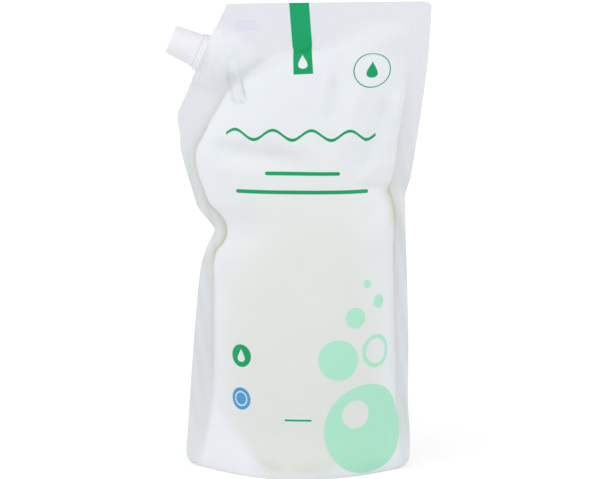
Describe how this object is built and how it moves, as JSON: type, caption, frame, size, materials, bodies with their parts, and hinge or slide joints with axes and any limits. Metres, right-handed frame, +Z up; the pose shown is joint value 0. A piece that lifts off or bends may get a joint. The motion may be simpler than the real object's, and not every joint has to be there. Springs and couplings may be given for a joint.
{
  "type": "liquid soap refill pouch",
  "caption": "Filled stand-up film refill pouch with a fold-out base and a slanted corner spout closed by a screw cap, for topping up a soap dispenser.",
  "frame": {"origin": "on the floor, under the middle of the open base", "axes": "+Z up the standing pouch, -Y out of its printed front, spout at the upper -X corner"},
  "size_m": [0.1367, 0.0586, 0.245],
  "materials": {
    "film": "milky translucent film, soft gloss",
    "moulded_white": "satin moulded polyethylene",
    "foam_white": "dull closed-cell foam",
    "cap_white": "satin moulded polyethylene"
  },
  "bodies": {
    "pack": {"pouch": "film", "spout": "moulded_white"},
    "liner": {"cap_liner": "foam_white"},
    "cap": {"cap": "cap_white"}
  },
  "joints": [
    {"name": "cap_lift", "type": "slide", "parent": "pack", "child": "liner", "axis": [-0.912, -0.0571, 0.4062], "range_m": [0, 0.0045]},
    {"name": "cap_turn", "type": "hinge", "parent": "liner", "child": "cap", "pos_m": [-0.04863, -0.01136, 0.21786], "axis": [-0.912, -0.0571, 0.4062], "range_deg": [0, 540]}
  ],
  "couplings": [
    {"joint": "cap_lift", "follows": "cap_turn", "m_per_rad": 0.00047746}
  ]
}
